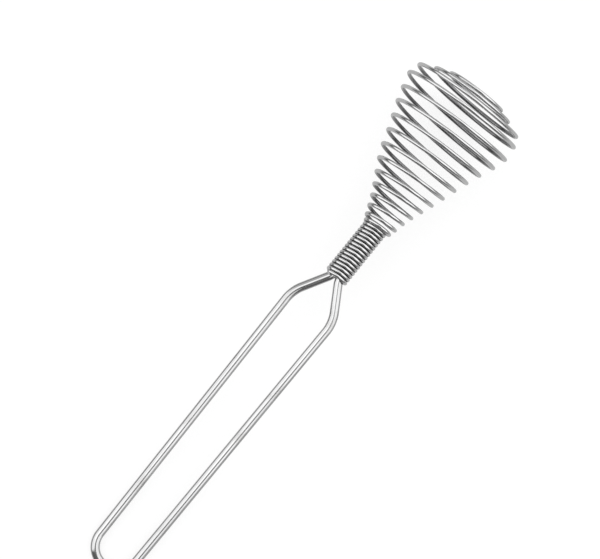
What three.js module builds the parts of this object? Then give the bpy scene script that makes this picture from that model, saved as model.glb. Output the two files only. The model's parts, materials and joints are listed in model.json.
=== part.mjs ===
// Spring coil whisk: a long wire loop for a handle, and one spring wire that is wrapped close
// round the two ends of the loop, opens into a cone and curls in again at the tip.
// Millimetres, +Z up. The whisk lies on its back: +X runs from the handle to the tip.
import * as THREE from 'three';

// ---- Handle loop ----
const handleWire = 3.5; // diameter of the handle wire
const shoulderSpacing = 19.8; // between the centres of the two legs, at the shoulders
const loopSpacing = 17.1; // between the centres of the two legs, at the end of the loop
const endSpacing = 3.5; // between the centres of the two ends inside the neck
const endInset = 1.0; // the ends stop this far short of the neck's upper end
const straightBelowNeck = 0.9; // the ends stay side by side this far below the neck
const shoulderLength = 14.7; // from the neck's lower end to the corner of the shoulders
const handleLength = 140.1; // from the neck's lower end to the centre of the end bar
const neckBendRadius = 5;
const shoulderBendRadius = 15;
const loopCornerRadius = 8.4;

// ---- Spring wire ----
const coilWire = 1.5; // diameter of the spring wire
const coilSection = 1.44; // across the corners of its section, so that close turns keep apart
const neckTurns = 15;
const startTurn = 0.4; // the wire starts this much of a turn before the neck's lower end
const neckPitch = 1.54; // close wound
const neckLength = neckTurns * neckPitch;
const neckRadius = 4.3; // to the wire's centre
const neckOffset = 0.3; // the neck stands this far off the middle of the legs, towards +Y
const neckSlant = 0.11; // its turns slant: their upper side is further towards the tip
const slantFade = 4; // turns above the neck over which the slant fades out
const sideSlant = 0.03; // the lower open turns slant sideways: their +Y side is nearer the handle
const sideSlantTurns = 9; // turns above the neck over which the sideways slant comes and goes
const turnGap = 0.3; // left between one segment of the wire and the next

// The spring wire at each full turn above the neck: its distance from the neck's lower end, its
// radius to the wire's centre, and how far the middle of the turn is off the handle's, towards +Y.
const coilStations = [
  { height: neckLength, radius: neckRadius, offset: neckOffset },
  { height: 24.7, radius: 5.6, offset: 0.2 },
  { height: 27.3, radius: 6.5, offset: 0.4 },
  { height: 31.0, radius: 7.7, offset: 0.8 },
  { height: 34.7, radius: 9.1, offset: 1.1 },
  { height: 38.8, radius: 11.0, offset: 1.5 },
  { height: 43.2, radius: 12.9, offset: 1.9 },
  { height: 48.0, radius: 15.0, offset: 2.4 },
  { height: 53.2, radius: 16.7, offset: 2.5 },
  { height: 58.5, radius: 18.5, offset: 2.6 },
  { height: 63.8, radius: 20.6, offset: 2.7 },
  { height: 69.3, radius: 22.7, offset: 2.5 },
  { height: 74.6, radius: 24.2, offset: 2.5 },
  { height: 80.4, radius: 24.5, offset: 3.2 },
  { height: 84.0, radius: 21.8, offset: 2.3 },
  { height: 86.4, radius: 15.3, offset: 1.8 },
  { height: 88.2, radius: 11.0, offset: 2.3 },
];
const openTurns = coilStations.length - 1; // each turn is a segment of its own
const lowestTurn = 12.25; // where the head touches the table when the whisk lies down

// ---- Fineness ----
const handleSides = 10;
const coilSides = 8;
const neckBendSteps = 4;
const shoulderBendSteps = 5;
const loopCornerSteps = 12;
const neckSteps = 16; // steps in a turn of the neck
const smallTurnSteps = 20;
const largeTurnSteps = 28;
const firstLargeTurn = 6;

const steel = { color: 0xc9cbce, metalness: 1, roughness: 0.22 };

// A curve whose steps are spread evenly over its own parameter, and not over its length.
class WireCurve extends THREE.Curve {
  getUtoTmapping(u) {
    return u;
  }
}

// A closed round bar along a curve.
function wire(curve, diameter, sides, steps) {
  const section = new THREE.Shape();
  section.absarc(0, 0, diameter / 2, 0, 2 * Math.PI);
  const options = { extrudePath: curve, steps, curveSegments: sides / 2 };
  return new THREE.ExtrudeGeometry(section, options);
}

// ---- Spring wire ----
// Smooth value between the stations, at any number of turns above the neck.
function station(turn, key) {
  const i = Math.min(Math.floor(turn), openTurns - 1);
  const share = turn - i;
  const start = coilStations[i][key];
  const end = coilStations[i + 1][key];
  const slopeIn = i > 0 ? (end - coilStations[i - 1][key]) / 2 : end - start;
  const slopeOut = i + 1 < openTurns ? (coilStations[i + 2][key] - start) / 2 : end - start;
  const rest = 1 - share;
  return start * rest * rest * (1 + 2 * share) + end * share * share * (1 + 2 * rest)
    + slopeIn * share * rest * rest - slopeOut * share * share * rest;
}

function slant(turn) {
  return neckSlant * THREE.MathUtils.clamp(1 - turn / slantFade, 0, 1);
}

function sidewaysSlant(turn) {
  return sideSlant * Math.sin(Math.PI * THREE.MathUtils.clamp(turn / sideSlantTurns, 0, 1));
}

// Turns below zero are the close wrap round the neck.
class CoilCurve extends WireCurve {
  constructor(fromTurn, toTurn) {
    super();
    this.fromTurn = fromTurn;
    this.toTurn = toTurn;
  }

  getPoint(share, target = new THREE.Vector3()) {
    const turn = this.fromTurn + (this.toTurn - this.fromTurn) * share;
    const height = turn < 0 ? neckLength + turn * neckPitch : station(turn, 'height');
    const radius = turn < 0 ? neckRadius : station(turn, 'radius');
    const offset = turn < 0 ? neckOffset : station(turn, 'offset');
    const angle = 2 * Math.PI * turn;
    const out = -radius * Math.cos(angle);
    const up = -radius * Math.sin(angle);
    return target.set(height + slant(turn) * up - sidewaysSlant(turn) * out, offset + out, up);
  }
}

function coilSegment(fromTurn, toTurn, stepsInTurn) {
  const steps = Math.round((toTurn - fromTurn) * stepsInTurn);
  return wire(new CoilCurve(fromTurn, toTurn), coilSection, coilSides, steps);
}

// Half of the gap between two segments, as a share of a turn.
function halfGap(turn) {
  return turnGap / 2 / (2 * Math.PI * station(turn, 'radius'));
}

// ---- Handle wire ----
class PointsCurve extends WireCurve {
  constructor(points) {
    super();
    this.points = points;
  }

  getPoint(share, target = new THREE.Vector3()) {
    const place = share * (this.points.length - 1);
    const i = Math.min(Math.max(Math.floor(place), 0), this.points.length - 2);
    return target.lerpVectors(this.points[i], this.points[i + 1], place - i);
  }
}

// The points of a round bend at a corner, between the corners before and after it.
function bend(before, corner, after) {
  const back = before.at.clone().sub(corner.at).normalize();
  const ahead = after.at.clone().sub(corner.at).normalize();
  const halfAngle = back.angleTo(ahead) / 2;
  const middle = back.clone().add(ahead).normalize();
  const centre = corner.at.clone().addScaledVector(middle, corner.radius / Math.sin(halfAngle));
  const toStart = back.clone().multiplyScalar(corner.radius / Math.tan(halfAngle));
  const spoke = toStart.add(corner.at).sub(centre);
  const axis = ahead.clone().cross(back).normalize();
  const turned = Math.PI - 2 * halfAngle;
  const points = [];
  for (let i = 0; i <= corner.steps; i++) {
    const angle = (turned * i) / corner.steps;
    points.push(spoke.clone().applyAxisAngle(axis, angle).add(centre));
  }
  return points;
}

function handleCorners(side) {
  const end = (x) => new THREE.Vector3(x, neckOffset + (side * endSpacing) / 2, 0);
  const leg = (x, spacing) => new THREE.Vector3(x, (side * spacing) / 2, 0);
  return [
    { at: end(neckLength - endInset) },
    { at: end(-straightBelowNeck), radius: neckBendRadius, steps: neckBendSteps },
    { at: leg(-shoulderLength, shoulderSpacing), radius: shoulderBendRadius, steps: shoulderBendSteps },
    { at: leg(-handleLength, loopSpacing), radius: loopCornerRadius, steps: loopCornerSteps },
  ];
}

function handleLoop() {
  const corners = [...handleCorners(1), ...handleCorners(-1).reverse()];
  const points = [corners[0].at];
  for (let i = 1; i + 1 < corners.length; i++) {
    points.push(...bend(corners[i - 1], corners[i], corners[i + 1]));
  }
  points.push(corners[corners.length - 1].at);
  return wire(new PointsCurve(points), handleWire, handleSides, points.length - 1);
}

// ---- The whisk ----
const whisk = new THREE.Group();

function addPiece(name, geometry) {
  const mesh = new THREE.Mesh(geometry, new THREE.MeshStandardMaterial(steel));
  mesh.name = name;
  whisk.add(mesh);
}

addPiece('handle_wire', handleLoop());
addPiece('neck_wrap', coilSegment(-neckTurns - startTurn, -halfGap(0), neckSteps));
for (let turn = 1; turn <= openTurns; turn++) {
  const start = turn - 1 + halfGap(turn - 1);
  const end = turn < openTurns ? turn - halfGap(turn) : turn;
  const steps = turn < firstLargeTurn ? smallTurnSteps : largeTurnSteps;
  addPiece(`coil_turn_${String(turn).padStart(2, '0')}`, coilSegment(start, end, steps));
}

// ---- Lay it down on its end bar and its widest turn ----
const touch = new CoilCurve(lowestTurn, lowestTurn).getPoint(0);
const reach = touch.x + handleLength;
const wireDifference = (handleWire - coilWire) / 2;
const layAngle = Math.atan2(-touch.z, reach) - Math.asin(wireDifference / Math.hypot(reach, touch.z));
whisk.rotation.y = -layAngle;

const box = new THREE.Box3().setFromObject(whisk, true);
whisk.position.set(-(box.min.x + box.max.x) / 2, -(box.min.y + box.max.y) / 2, -box.min.z);

const group = new THREE.Group();
group.name = 'spring_coil_whisk';
group.add(whisk);

export default group;
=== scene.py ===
"""The looks of a spring coil whisk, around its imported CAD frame: round drawn-steel wires in place of the
faceted ones, a pale floor, soft studio light and the camera. Metres, +Z up, as in the frame."""

import json
import math

import bpy
from mathutils import Matrix, Vector


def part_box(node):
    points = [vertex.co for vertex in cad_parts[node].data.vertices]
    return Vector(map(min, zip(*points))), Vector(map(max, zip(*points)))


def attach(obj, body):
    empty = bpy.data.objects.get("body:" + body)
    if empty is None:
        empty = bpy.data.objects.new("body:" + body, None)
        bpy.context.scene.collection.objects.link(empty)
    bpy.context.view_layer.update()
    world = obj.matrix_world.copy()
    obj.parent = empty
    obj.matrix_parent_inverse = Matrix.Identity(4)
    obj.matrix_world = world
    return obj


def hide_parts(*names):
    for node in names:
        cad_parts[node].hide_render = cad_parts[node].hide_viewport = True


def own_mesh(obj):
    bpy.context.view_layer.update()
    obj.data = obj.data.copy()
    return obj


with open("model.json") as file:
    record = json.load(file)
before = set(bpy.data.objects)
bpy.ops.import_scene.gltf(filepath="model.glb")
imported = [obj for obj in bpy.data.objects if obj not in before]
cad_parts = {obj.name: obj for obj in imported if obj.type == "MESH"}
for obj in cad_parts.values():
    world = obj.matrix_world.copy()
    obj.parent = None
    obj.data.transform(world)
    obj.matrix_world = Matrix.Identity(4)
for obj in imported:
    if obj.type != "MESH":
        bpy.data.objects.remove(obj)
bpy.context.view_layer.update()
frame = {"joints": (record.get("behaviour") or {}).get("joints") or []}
MM = 0.001

# ---- The handle wire, as in the CAD source ----
HANDLE_WIRE = 3.5 * MM
SHOULDER_SPACING = 19.8 * MM
LOOP_SPACING = 17.1 * MM
END_SPACING = 3.5 * MM
END_INSET = 1.0 * MM
STRAIGHT_BELOW_NECK = 0.9 * MM
SHOULDER_LENGTH = 14.7 * MM
HANDLE_LENGTH = 140.1 * MM
NECK_BEND_RADIUS = 5.0 * MM
SHOULDER_BEND_RADIUS = 15.0 * MM
LOOP_CORNER_RADIUS = 8.4 * MM

# ---- The spring wire, as in the CAD source ----
COIL_WIRE = 1.5 * MM
NECK_TURNS = 15
START_TURN = 0.4  # the wire starts this much of a turn before the neck's lower end
NECK_PITCH = 1.54 * MM
NECK_LENGTH = NECK_TURNS * NECK_PITCH
NECK_RADIUS = 4.3 * MM
NECK_OFFSET = 0.3 * MM
NECK_SLANT = 0.11  # how far along the whisk the neck's turns lean for each unit upwards
SLANT_FADE = 4  # open turns over which that lean fades out
SIDE_SLANT = 0.03  # the most that the lower open turns lean for each unit sideways
SIDE_SLANT_TURNS = 9  # open turns over which that lean grows and fades again
CLOSING_TURNS = 0.25  # the turns of the wire's start over which a turn comes to lie behind it
# The wire at each full turn above the neck: its distance from the neck's lower end, its radius to the
# wire's centre, and how far the middle of the turn is off the handle's.
COIL_STATIONS_MM = [
    (23.1, 4.3, 0.3),
    (24.7, 5.6, 0.2),
    (27.3, 6.5, 0.4),
    (31.0, 7.7, 0.8),
    (34.7, 9.1, 1.1),
    (38.8, 11.0, 1.5),
    (43.2, 12.9, 1.9),
    (48.0, 15.0, 2.4),
    (53.2, 16.7, 2.5),
    (58.5, 18.5, 2.6),
    (63.8, 20.6, 2.7),
    (69.3, 22.7, 2.5),
    (74.6, 24.2, 2.5),
    (80.4, 24.5, 3.2),
    (84.0, 21.8, 2.3),
    (86.4, 15.3, 1.8),
    (88.2, 11.0, 2.3),
]
HEIGHTS = [height * MM for height, _, _ in COIL_STATIONS_MM]
RADII = [radius * MM for _, radius, _ in COIL_STATIONS_MM]
OFFSETS = [offset * MM for _, _, offset in COIL_STATIONS_MM]
OPEN_TURNS = len(COIL_STATIONS_MM) - 1
FIXED_TURNS = 4  # open turns that never move
FIRST_TIP_TURN = 14  # from here to the tip, the turns move as one

# ---- Fineness of the wires ----
WIRE_SIDES = 24
NECK_STEPS = 56
TURN_STEPS = 120
BEND_STEPS = 24
STRAIGHT_STEP = 2.0 * MM
END_ROUNDING = 0.2  # share of a wire's thickness that is rounded off at a cut end
END_RINGS = 5
CLEAR_OF_END = 1.5  # within this many roundings of a cut end, the line has no other points
SHARP_EDGE = math.radians(60)  # edges that turn by more than this aren't smoothed

# ---- Where the whisk lies ----
press = next(joint for joint in frame["joints"] if joint["name"] == "tip_press")
AXIS = -Vector(press["axis"]).normalized()
SIDE = Vector((0, 1, 0))
UP = AXIS.cross(SIDE)


def neck_origin():
    """The middle of the neck's lower end, found from the end bar, which lies on the table."""
    low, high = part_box("handle_wire")
    bar = Vector((low[0], (low[1] + high[1]) / 2, low[2])) + Vector((1, 0, 1)) * HANDLE_WIRE / 2
    return bar + AXIS * HANDLE_LENGTH


ORIGIN = neck_origin()


def place(along, side, up):
    """A point of the whisk, given along its axis from the neck's lower end, to the side and up."""
    return ORIGIN + AXIS * along + SIDE * side + UP * up


# ---- Centre lines ----
class WirePoint:
    """A point of a wire's centre line: its place, the side that faces outwards, how close the turns
    behind it and ahead of it are, from 0 to 1, and the share of its thickness that the wire has here."""

    def __init__(self, at, outward, close_behind=0.0, close_ahead=0.0, thickness_share=1.0):
        self.at = at
        self.outward = outward
        self.close_behind = close_behind
        self.close_ahead = close_ahead
        self.thickness_share = thickness_share

    def thinned(self, at, thickness_share):
        return WirePoint(at, self.outward, self.close_behind, self.close_ahead, thickness_share)


def station(values, turn):
    """A smooth value between the stations, at any number of turns above the neck."""
    i = min(int(turn), OPEN_TURNS - 1)
    share = turn - i
    rest = 1 - share
    start, end = values[i], values[i + 1]
    slope_in = (end - values[i - 1]) / 2 if i > 0 else end - start
    slope_out = (values[i + 2] - start) / 2 if i + 1 < OPEN_TURNS else end - start
    return (
        start * rest * rest * (1 + 2 * share)
        + end * share * share * (1 + 2 * rest)
        + slope_in * share * rest * rest
        - slope_out * share * share * rest
    )


def coil_height(turn):
    return NECK_LENGTH + turn * NECK_PITCH if turn < 0 else station(HEIGHTS, turn)


def coil_radius(turn):
    return NECK_RADIUS if turn < 0 else station(RADII, turn)


def coil_offset(turn):
    return NECK_OFFSET if turn < 0 else station(OFFSETS, turn)


def within_one(value):
    return min(max(value, 0), 1)


def slant(turn):
    return NECK_SLANT * within_one(1 - turn / SLANT_FADE)


def sideways_slant(turn):
    return SIDE_SLANT * math.sin(math.pi * within_one(turn / SIDE_SLANT_TURNS))


def coil_point(turn):
    """The wire's centre and its outward direction. Turns below zero are the close wrap of the neck."""
    angle = 2 * math.pi * turn
    out_side, out_up = -math.cos(angle), -math.sin(angle)
    radius = coil_radius(turn)
    out, up = radius * out_side, radius * out_up
    height = coil_height(turn) + slant(turn) * up - sideways_slant(turn) * out
    centre = place(height, coil_offset(turn) + out, up)
    outward = SIDE * out_side + UP * out_up
    turns_behind = turn + NECK_TURNS + START_TURN
    close_ahead = within_one(-turn)
    close_behind = within_one(1 - turn) * within_one((turns_behind - 1) / CLOSING_TURNS)
    return WirePoint(centre, outward, close_behind, close_ahead)


def coil_line(start, end, steps_in_turn):
    steps = round((end - start) * steps_in_turn)
    return [coil_point(start + (end - start) * i / steps) for i in range(steps + 1)]


def bend(before, corner, after, radius):
    """The points of a round bend at a corner, between the corners before and after it."""
    back = (before - corner).normalized()
    ahead = (after - corner).normalized()
    half = back.angle(ahead) / 2
    centre = corner + (back + ahead).normalized() * (radius / math.sin(half))
    spoke = corner + back * (radius / math.tan(half)) - centre
    turned = math.pi - 2 * half
    axis = ahead.cross(back)
    angles = [turned * i / BEND_STEPS for i in range(BEND_STEPS + 1)]
    return [centre + Matrix.Rotation(angle, 3, axis) @ spoke for angle in angles]


def handle_corners():
    """The corners of the handle's path and their bends' radii, from one end of the wire to the other."""
    sides = []
    for way in (1, -1):
        end = NECK_OFFSET + way * END_SPACING / 2
        side = [
            (place(NECK_LENGTH - END_INSET, end, 0), 0),
            (place(-STRAIGHT_BELOW_NECK, end, 0), NECK_BEND_RADIUS),
            (place(-SHOULDER_LENGTH, way * SHOULDER_SPACING / 2, 0), SHOULDER_BEND_RADIUS),
            (place(-HANDLE_LENGTH, way * LOOP_SPACING / 2, 0), LOOP_CORNER_RADIUS),
        ]
        sides.append(side)
    return sides[0] + sides[1][::-1]


def handle_line():
    corners = handle_corners()
    path = [corners[0][0]]
    for i in range(1, len(corners) - 1):
        path += bend(corners[i - 1][0], corners[i][0], corners[i + 1][0], corners[i][1])
    path.append(corners[-1][0])
    return [WirePoint(point, outward=UP) for point in divided(path)]


def divided(path):
    """The same path with points added along its long straight stretches."""
    line = [path[0]]
    for start, end in zip(path, path[1:]):
        parts = max(1, round((end - start).length / STRAIGHT_STEP))
        line += [start.lerp(end, i / parts) for i in range(1, parts + 1)]
    return line


# ---- Wires ----
def with_cut_start(line, thickness):
    """The line with the cut end at its start rounded off."""
    reach = thickness * END_ROUNDING
    start = line[0]
    inwards = (line[1].at - start.at).normalized()
    rings = []
    for i in range(END_RINGS + 1):
        angle = math.pi / 2 * i / END_RINGS
        at = start.at + inwards * reach * (1 - math.cos(angle))
        share = 1 - 2 * END_ROUNDING * (1 - math.sin(angle))
        rings.append(start.thinned(at, share))
    clear = reach * CLEAR_OF_END
    return rings + [point for point in line if (point.at - start.at).length > clear]


def with_cut_end(line, thickness):
    return with_cut_start(line[::-1], thickness)[::-1]


def make_group(name, inputs):
    group = bpy.data.node_groups.new(name, "GeometryNodeTree")
    for label, kind in inputs:
        group.interface.new_socket(label, in_out="INPUT", socket_type=kind)
    group.interface.new_socket("Geometry", in_out="OUTPUT", socket_type="NodeSocketGeometry")
    return group


def round_wire_group():
    """Geometry nodes that sweep a round section along a centre line. The wire stays round when the line
    is squashed."""
    group = make_group(
        "round_wire",
        [
            ("Geometry", "NodeSocketGeometry"),
            ("Radius", "NodeSocketFloat"),
            ("Material", "NodeSocketMaterial"),
        ],
    )
    nodes, links = group.nodes, group.links
    given = nodes.new("NodeGroupInput")
    result = nodes.new("NodeGroupOutput")
    centre_line = nodes.new("GeometryNodeMeshToCurve")
    ring = nodes.new("GeometryNodeCurvePrimitiveCircle")
    ring.inputs["Resolution"].default_value = WIRE_SIDES
    place_on_ring = nodes.new("GeometryNodeInputPosition")
    section = nodes.new("GeometryNodeStoreNamedAttribute")
    section.data_type = "FLOAT_VECTOR"
    section.inputs["Name"].default_value = "section"
    sweep = nodes.new("GeometryNodeCurveToMesh")
    sweep.inputs["Fill Caps"].default_value = True
    smooth = nodes.new("GeometryNodeSetShadeSmooth")
    edge_angle = nodes.new("GeometryNodeInputMeshEdgeAngle")
    is_sharp = nodes.new("FunctionNodeCompare")
    is_sharp.operation = "GREATER_THAN"
    is_sharp.inputs["B"].default_value = SHARP_EDGE
    crisp = nodes.new("GeometryNodeSetShadeSmooth")
    crisp.domain = "EDGE"
    crisp.inputs["Shade Smooth"].default_value = False
    finish = nodes.new("GeometryNodeSetMaterial")
    links.new(given.outputs["Geometry"], centre_line.inputs["Mesh"])
    links.new(given.outputs["Radius"], ring.inputs["Radius"])
    links.new(ring.outputs["Curve"], section.inputs["Geometry"])
    links.new(place_on_ring.outputs["Position"], section.inputs["Value"])
    links.new(centre_line.outputs["Curve"], sweep.inputs["Curve"])
    links.new(section.outputs["Geometry"], sweep.inputs["Profile Curve"])
    links.new(sweep.outputs["Mesh"], smooth.inputs["Geometry"])
    links.new(smooth.outputs["Geometry"], crisp.inputs["Geometry"])
    links.new(edge_angle.outputs["Unsigned Angle"], is_sharp.inputs["A"])
    links.new(is_sharp.outputs["Result"], crisp.inputs["Selection"])
    links.new(crisp.outputs["Geometry"], finish.inputs["Geometry"])
    links.new(given.outputs["Material"], finish.inputs["Material"])
    links.new(finish.outputs["Geometry"], result.inputs["Geometry"])
    return group


round_wire = round_wire_group()


def set_input(modifier, label, value):
    sockets = modifier.node_group.interface.items_tree
    socket = next(item for item in sockets if item.name == label and item.in_out == "INPUT")
    modifier[socket.identifier] = value


def add_attribute(mesh, name, kind, values):
    data = mesh.attributes.new(name, kind, "POINT").data
    field = "vector" if kind == "FLOAT_VECTOR" else "value"
    for item, value in zip(data, values):
        setattr(item, field, value)


def make_wire(name, line, thickness, material, start_length=0.0):
    """A piece along a centre line. start_length is the length of the wire before it, so that the finish
    runs on unbroken."""
    mesh = bpy.data.meshes.new(name)
    mesh.from_pydata([point.at for point in line], [(i, i + 1) for i in range(len(line) - 1)], [])
    mesh.materials.append(material)
    lengths = [start_length]
    for before, after in zip(line, line[1:]):
        lengths.append(lengths[-1] + (after.at - before.at).length)
    add_attribute(mesh, "radius", "FLOAT", [point.thickness_share for point in line])
    add_attribute(mesh, "along", "FLOAT", lengths)
    add_attribute(mesh, "outward", "FLOAT_VECTOR", [point.outward for point in line])
    add_attribute(mesh, "close_behind", "FLOAT", [point.close_behind for point in line])
    add_attribute(mesh, "close_ahead", "FLOAT", [point.close_ahead for point in line])
    piece = bpy.data.objects.new(name, mesh)
    bpy.context.scene.collection.objects.link(piece)
    modifier = piece.modifiers.new("round_wire", "NODES")
    modifier.node_group = round_wire
    set_input(modifier, "Radius", thickness / 2)
    set_input(modifier, "Material", material)
    return piece, lengths[-1]


# ---- Materials ----
# How fine the streaks and smudges are, across the wire and along it
HANDLE_STREAKS = (2600, 45)
HANDLE_SMUDGES = (300, 120)
SPRING_STREAKS = (4200, 60)
SPRING_SMUDGES = (500, 160)
STREAK_DETAIL = 3.0
SMUDGE_DETAIL = 4.0
# The noise levels between which each of them comes in
STREAKED = (0.35, 0.7)
DULLED = (0.4, 0.75)
HANDLE_SMUDGED = (0.5, 0.8)
INSIDE_SMUDGED = (0.35, 0.75)
POLISHED_ROUGHNESS = 0.08
STREAKED_ROUGHNESS = 0.14
DULLED_ROUGHNESS = 0.1  # added to the others
HANDLE_BRIGHT = (0.70, 0.70, 0.70, 1)
HANDLE_STREAK = (0.58, 0.58, 0.585, 1)
HANDLE_SMUDGE = (0.5, 0.495, 0.49, 1)
SPRING_BRIGHT = (0.8, 0.8, 0.8, 1)
SPRING_STREAK = (0.67, 0.67, 0.675, 1)
# Painted shade: the sides of the spring wire that face into the coil get these darker colours, with random
# smudges on them.
SPRING_INSIDE_PAINTED_SHADE = (0.3, 0.3, 0.305, 1)
SPRING_INSIDE_PAINTED_SHADE_SMUDGED = (0.22, 0.22, 0.22, 1)
# Painted shade: near black where the close turns of the neck touch each other.
PAINTED_CREVICE_SHADE = (0.02, 0.02, 0.02, 1)
OUTSIDE = (-0.35, 0.25)  # how far outwards the surface faces where the painted shade of the inside gives way to the outer colour
TOUCHING = (0.62, 0.86)  # how far along the whisk it faces where painted shade for the next close turn comes in
STREAK_DEPTH = 0.02 * MM
STREAK_STRENGTH = 0.25
# A Mix node's colours go by number, because its other sockets have the same names.
COLOUR_A = 6
COLOUR_B = 7
MIXED_COLOUR = 2


class Nodes:
    """A node tree with short ways to add the nodes that the materials and the sky share."""

    def __init__(self, tree):
        self.tree = tree

    def add(self, kind, settings=None, **inputs):
        node = self.tree.nodes.new(kind)
        for name, value in (settings or {}).items():
            setattr(node, name, value)
        for name, value in inputs.items():
            self.feed(node.inputs[name.replace("_", " ")], value)
        return node

    def feed(self, socket, value):
        if isinstance(value, bpy.types.NodeSocket):
            self.tree.links.new(value, socket)
        else:
            socket.default_value = value

    def math(self, operation, a, b=0.0):
        node = self.add("ShaderNodeMath", {"operation": operation})
        self.feed(node.inputs[0], a)
        self.feed(node.inputs[1], b)
        return node.outputs[0]

    def dot(self, a, b):
        node = self.add("ShaderNodeVectorMath", {"operation": "DOT_PRODUCT"})
        self.feed(node.inputs[0], a)
        self.feed(node.inputs[1], b)
        return node.outputs["Value"]

    def ramp(self, value, low, high, to_low=0.0, to_high=1.0):
        """A smooth change from one value to another as the input goes from low to high."""
        node = self.add("ShaderNodeMapRange", {"interpolation_type": "SMOOTHSTEP"}, Value=value)
        self.feed(node.inputs["From Min"], low)
        self.feed(node.inputs["From Max"], high)
        self.feed(node.inputs["To Min"], to_low)
        self.feed(node.inputs["To Max"], to_high)
        return node.outputs["Result"]

    def attribute(self, name, output):
        return self.add("ShaderNodeAttribute", {"attribute_name": name}).outputs[output]

    def mix_colours(self, share, a, b):
        node = self.add("ShaderNodeMix", {"data_type": "RGBA"})
        self.feed(node.inputs["Factor"], share)
        self.feed(node.inputs[COLOUR_A], a)
        self.feed(node.inputs[COLOUR_B], b)
        return node.outputs[MIXED_COLOUR]


def along_wire(nodes, across_scale, along_scale):
    """Coordinates that stretch along a wire: its section times one scale, its length times another."""
    section = nodes.add("ShaderNodeSeparateXYZ", Vector=nodes.attribute("section", "Vector"))
    length = nodes.math("MULTIPLY", nodes.attribute("along", "Fac"), along_scale)
    place_in_wire = nodes.add("ShaderNodeCombineXYZ", Z=length)
    nodes.feed(place_in_wire.inputs["X"], nodes.math("MULTIPLY", section.outputs["X"], across_scale))
    nodes.feed(place_in_wire.inputs["Y"], nodes.math("MULTIPLY", section.outputs["Y"], across_scale))
    return place_in_wire.outputs["Vector"]


def noise(nodes, scales, detail):
    """Soft noise that is stretched along a wire."""
    vector = along_wire(nodes, *scales)
    node = nodes.add("ShaderNodeTexNoise", Vector=vector, Scale=1.0, Detail=detail)
    return node.outputs["Fac"]


def steel_surface(nodes, drawn, smudges):
    """Roughness and relief of drawn steel wire: streaks along it and uneven polish."""
    shader = nodes.tree.nodes["Principled BSDF"]
    shader.inputs["Metallic"].default_value = 1.0
    streaked = nodes.ramp(drawn, *STREAKED, POLISHED_ROUGHNESS, STREAKED_ROUGHNESS)
    dulled = nodes.ramp(smudges, *DULLED, 0.0, DULLED_ROUGHNESS)
    nodes.feed(shader.inputs["Roughness"], nodes.math("ADD", streaked, dulled))
    bump = nodes.add("ShaderNodeBump", Height=drawn, Strength=STREAK_STRENGTH, Distance=STREAK_DEPTH)
    nodes.feed(shader.inputs["Normal"], bump.outputs["Normal"])
    return shader


def make_material(name):
    material = bpy.data.materials.new(name)
    material.use_nodes = True
    return material, Nodes(material.node_tree)


def make_handle_steel():
    """Bright stainless wire, with drawing streaks and the dull smudges of use."""
    material, nodes = make_material("handle_steel")
    drawn = noise(nodes, HANDLE_STREAKS, STREAK_DETAIL)
    smudges = noise(nodes, HANDLE_SMUDGES, SMUDGE_DETAIL)
    shader = steel_surface(nodes, drawn, smudges)
    bright = nodes.mix_colours(nodes.ramp(drawn, *STREAKED), HANDLE_BRIGHT, HANDLE_STREAK)
    colour = nodes.mix_colours(nodes.ramp(smudges, *HANDLE_SMUDGED), bright, HANDLE_SMUDGE)
    nodes.feed(shader.inputs["Base Color"], colour)
    return material


def make_spring_steel():
    """Spring wire that is bright outside, with painted shade on the sides that face into the coil and
    near-black painted shade between the close turns.
    """
    material, nodes = make_material("spring_steel")
    drawn = noise(nodes, SPRING_STREAKS, STREAK_DETAIL)
    smudges = noise(nodes, SPRING_SMUDGES, SMUDGE_DETAIL)
    shader = steel_surface(nodes, drawn, smudges)
    normal = nodes.add("ShaderNodeNewGeometry").outputs["Normal"]
    outwards = nodes.dot(normal, nodes.attribute("outward", "Vector"))
    ahead = nodes.dot(normal, tuple(AXIS))
    outer = nodes.mix_colours(nodes.ramp(drawn, *STREAKED), SPRING_BRIGHT, SPRING_STREAK)
    smudged_inside = nodes.ramp(smudges, *INSIDE_SMUDGED)
    # Painted shade on the sides that face into the coil, with random smudges in it.
    painted_inner_shade = nodes.mix_colours(smudged_inside, SPRING_INSIDE_PAINTED_SHADE, SPRING_INSIDE_PAINTED_SHADE_SMUDGED)
    colour = nodes.mix_colours(nodes.ramp(outwards, *OUTSIDE), painted_inner_shade, outer)
    close_ahead = nodes.attribute("close_ahead", "Fac")
    close_behind = nodes.attribute("close_behind", "Fac")
    # Painted shade between the close turns, on the sides that face the next turn.
    faces_ahead = nodes.ramp(ahead, *TOUCHING)
    faces_behind = nodes.ramp(ahead, -TOUCHING[0], -TOUCHING[1])
    painted_shade_ahead = nodes.math("MULTIPLY", faces_ahead, close_ahead)
    painted_shade_behind = nodes.math("MULTIPLY", faces_behind, close_behind)
    painted_crevice_shade = nodes.math("ADD", painted_shade_ahead, painted_shade_behind)
    nodes.feed(shader.inputs["Base Color"], nodes.mix_colours(painted_crevice_shade, colour, PAINTED_CREVICE_SHADE))
    return material


handle_steel = make_handle_steel()
spring_steel = make_spring_steel()


# ---- Pieces ----
def add_handle():
    line = with_cut_end(with_cut_start(handle_line(), HANDLE_WIRE), HANDLE_WIRE)
    piece, _ = make_wire("handle_loop_wire", line, HANDLE_WIRE, handle_steel)
    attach(piece, "handle")
    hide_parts("handle_wire")


def turn_nodes(first, last):
    return [f"coil_turn_{turn:02d}" for turn in range(first, last + 1)]


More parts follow.
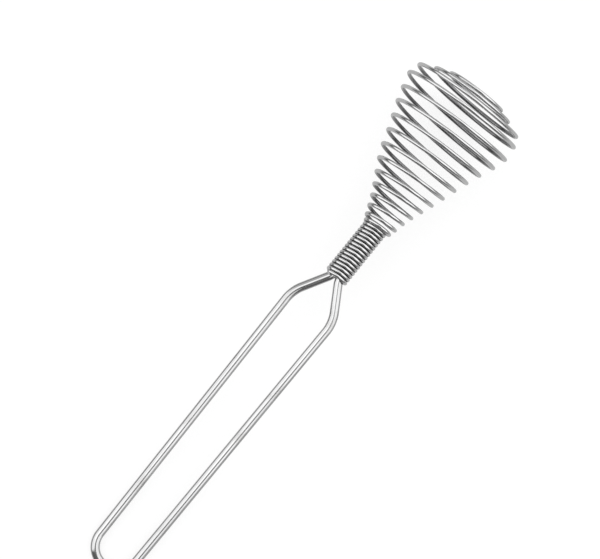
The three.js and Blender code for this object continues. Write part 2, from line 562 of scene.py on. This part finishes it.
def add_spring():
    """The spring's wire in one run: its fixed start, the turns that close up as it is pressed, its tip."""
    neck = coil_line(-NECK_TURNS - START_TURN, 0, NECK_STEPS)
    first_turns = coil_line(0, FIXED_TURNS, TURN_STEPS)
    start = with_cut_start(neck[:-1] + first_turns, COIL_WIRE)
    piece, length = make_wire("spring_wire_start", start, COIL_WIRE, spring_steel)
    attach(piece, "handle")
    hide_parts("neck_wrap", *turn_nodes(1, FIXED_TURNS))
    for turn in range(FIXED_TURNS + 1, FIRST_TIP_TURN):
        line = coil_line(turn - 1, turn, TURN_STEPS)
        piece, length = make_wire(f"spring_wire_turn_{turn:02d}", line, COIL_WIRE, spring_steel, length)
        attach(piece, "handle" if turn == FIXED_TURNS + 1 else f"turn_{turn:02d}")
        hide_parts(*turn_nodes(turn, turn))
        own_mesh(piece)
    tip = with_cut_end(coil_line(FIRST_TIP_TURN - 1, OPEN_TURNS, TURN_STEPS), COIL_WIRE)
    piece, _ = make_wire("spring_wire_tip", tip, COIL_WIRE, spring_steel, length)
    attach(piece, "tip")
    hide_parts(*turn_nodes(FIRST_TIP_TURN, OPEN_TURNS))


add_handle()
add_spring()

# ---- Camera ----
CAMERA_TILT = math.radians(2.3)  # how far the whisk leans away from the camera, towards its tip
TURN_IN_VIEW = math.radians(51)  # of the whisk's axis, anticlockwise from level
CAMERA_DISTANCE = 2.0
FOCAL_PIXELS = 5280
IMAGE_WIDTH = 600
SENSOR_WIDTH = 36
# Where the neck's lower end is in the picture, in pixels from its middle
NECK_RIGHT_OF_MIDDLE = 37.0
NECK_ABOVE_MIDDLE = 2.7


def camera_directions():
    """To the right, up and back from the subject to the camera."""
    tilt = Matrix.Rotation(-CAMERA_TILT, 3, SIDE)
    along, back = tilt @ AXIS, tilt @ UP
    right = along * math.cos(TURN_IN_VIEW) - SIDE * math.sin(TURN_IN_VIEW)
    up = along * math.sin(TURN_IN_VIEW) + SIDE * math.cos(TURN_IN_VIEW)
    return right, up, back


RIGHT, TOP, BACK = camera_directions()


def add_camera():
    """A long lens above the whisk, with the neck's lower end at its place in the picture."""
    metres_a_pixel = CAMERA_DISTANCE / FOCAL_PIXELS
    middle = ORIGIN - (RIGHT * NECK_RIGHT_OF_MIDDLE + TOP * NECK_ABOVE_MIDDLE) * metres_a_pixel
    data = bpy.data.cameras.new("camera")
    data.sensor_fit = "HORIZONTAL"
    data.sensor_width = SENSOR_WIDTH
    data.lens = SENSOR_WIDTH * FOCAL_PIXELS / IMAGE_WIDTH
    camera = bpy.data.objects.new("camera", data)
    bpy.context.scene.collection.objects.link(camera)
    turned = Matrix((RIGHT, TOP, BACK)).transposed().to_4x4()
    camera.matrix_world = Matrix.Translation(middle + BACK * CAMERA_DISTANCE) @ turned
    bpy.context.scene.camera = camera


# ---- Floor and light ----
WHITE = (1, 1, 1, 1)
FLOOR_SIZE = 12.0
FLOOR_GREY = (0.28, 0.28, 0.28, 1)
FLOOR_GLOW = 0.74  # the floor's own light, which keeps it nearly white and its shadows faint
FLOOR_ROUGHNESS = 0.9
SURROUND = 1.05  # the brightness that lights the floor and is seen past it
# The brightness of each thing that the steel reflects
LEFT_CLOTH = 1.28
LEFT_CLOTH_TOP = 0.55
RIGHT_CLOTH = 1.35
DARK_ROOM = 0.14
ROOM_CORNER = 0.44
ROOM_BELOW = 0.56
# The side of the studio that each of these is on. The others are to the right, the top or the back.
LEFT_CLOTH_SIDE = TOP - RIGHT * 0.2
LEFT_FADE_SIDE = TOP + RIGHT * 0.5
CORNER_SIDE = RIGHT * 0.9 + TOP * 0.35
# How far a direction points to that side where each of them starts, and where it is complete
LEFT_CLOTH_EDGE = (-0.03, 0.1)
LEFT_CLOTH_FADE = (0.35, 0.65)
RIGHT_CLOTH_EDGE = (0.25, 0.4)
RIGHT_CLOTH_BOTTOM = (-0.65, -0.52)
CLOTH_LOWER_EDGE = (-0.15, 0.15)
CORNER_EDGE = (0.2, 0.4)
ROOM_BELOW_EDGE = (-0.5, -0.2)
# The softbox
SOFTBOX_AT = BACK * 1.4 - RIGHT * 0.5 + TOP * 0.5
SOFTBOX_SIZE = 0.8
SOFTBOX_WATTS = 0.6


def add_floor():
    """A wide pale floor. Steel reflects the studio and not the floor, which keeps its edges dark."""
    half = FLOOR_SIZE / 2
    corners = [(-half, -half, 0), (half, -half, 0), (half, half, 0), (-half, half, 0)]
    mesh = bpy.data.meshes.new("floor")
    mesh.from_pydata(corners, [], [(0, 1, 2, 3)])
    floor = bpy.data.objects.new("floor", mesh)
    floor.visible_glossy = False
    bpy.context.scene.collection.objects.link(floor)
    material, nodes = make_material("pale_floor")
    shader = nodes.tree.nodes["Principled BSDF"]
    shader.inputs["Base Color"].default_value = FLOOR_GREY
    shader.inputs["Emission Color"].default_value = WHITE
    shader.inputs["Emission Strength"].default_value = FLOOR_GLOW
    shader.inputs["Roughness"].default_value = FLOOR_ROUGHNESS
    mesh.materials.append(material)


def studio_brightness(nodes):
    """What the steel reflects: cloth at the upper left and at the right, a dark gap between them, and a
    grey room below."""
    direction = nodes.add("ShaderNodeTexCoord").outputs["Generated"]
    right = nodes.dot(direction, tuple(RIGHT))
    top = nodes.dot(direction, tuple(TOP))
    back = nodes.dot(direction, tuple(BACK))
    towards_left = nodes.dot(direction, tuple(LEFT_CLOTH_SIDE))
    towards_fade = nodes.dot(direction, tuple(LEFT_FADE_SIDE))
    towards_corner = nodes.dot(direction, tuple(CORNER_SIDE))
    left_edge = nodes.ramp(towards_left, *LEFT_CLOTH_EDGE)
    left_fade = nodes.ramp(towards_fade, *LEFT_CLOTH_FADE, LEFT_CLOTH, LEFT_CLOTH_TOP)
    left_cloth = nodes.math("MULTIPLY", left_edge, left_fade)
    right_edge = nodes.ramp(right, *RIGHT_CLOTH_EDGE)
    right_fade = nodes.ramp(top, *RIGHT_CLOTH_BOTTOM, 0.0, RIGHT_CLOTH)
    right_cloth = nodes.math("MULTIPLY", right_edge, right_fade)
    cloth = nodes.math("MAXIMUM", left_cloth, right_cloth)
    above = nodes.math("MULTIPLY", cloth, nodes.ramp(back, *CLOTH_LOWER_EDGE))
    corner = nodes.ramp(towards_corner, *CORNER_EDGE, DARK_ROOM, ROOM_CORNER)
    room_below = nodes.ramp(back, *ROOM_BELOW_EDGE, ROOM_BELOW, DARK_ROOM)
    below = nodes.math("MAXIMUM", corner, room_below)
    return nodes.math("MAXIMUM", above, below)


def add_world():
    """Plain white for everything but the steel's reflections, which see the studio."""
    world = bpy.data.worlds.new("studio")
    world.use_nodes = True
    nodes = Nodes(world.node_tree)
    is_reflection = nodes.add("ShaderNodeLightPath").outputs["Is Glossy Ray"]
    is_other = nodes.math("SUBTRACT", 1.0, is_reflection)
    reflected = nodes.math("MULTIPLY", is_reflection, studio_brightness(nodes))
    surround = nodes.math("MULTIPLY", is_other, SURROUND)
    background = nodes.tree.nodes["Background"]
    background.inputs["Color"].default_value = WHITE
    nodes.feed(background.inputs["Strength"], nodes.math("ADD", reflected, surround))
    bpy.context.scene.world = world


def add_softbox():
    """A wide light above the whisk, from the picture's upper left, for soft shadows."""
    data = bpy.data.lights.new("softbox", "AREA")
    data.shape = "RECTANGLE"
    data.size = SOFTBOX_SIZE
    data.size_y = SOFTBOX_SIZE
    data.energy = SOFTBOX_WATTS
    light = bpy.data.objects.new("softbox", data)
    light.location = SOFTBOX_AT
    light.rotation_euler = SOFTBOX_AT.to_track_quat("Z", "Y").to_euler()
    bpy.context.scene.collection.objects.link(light)


add_camera()
add_floor()
add_world()
add_softbox()
bpy.context.scene.view_settings.view_transform = "Standard"
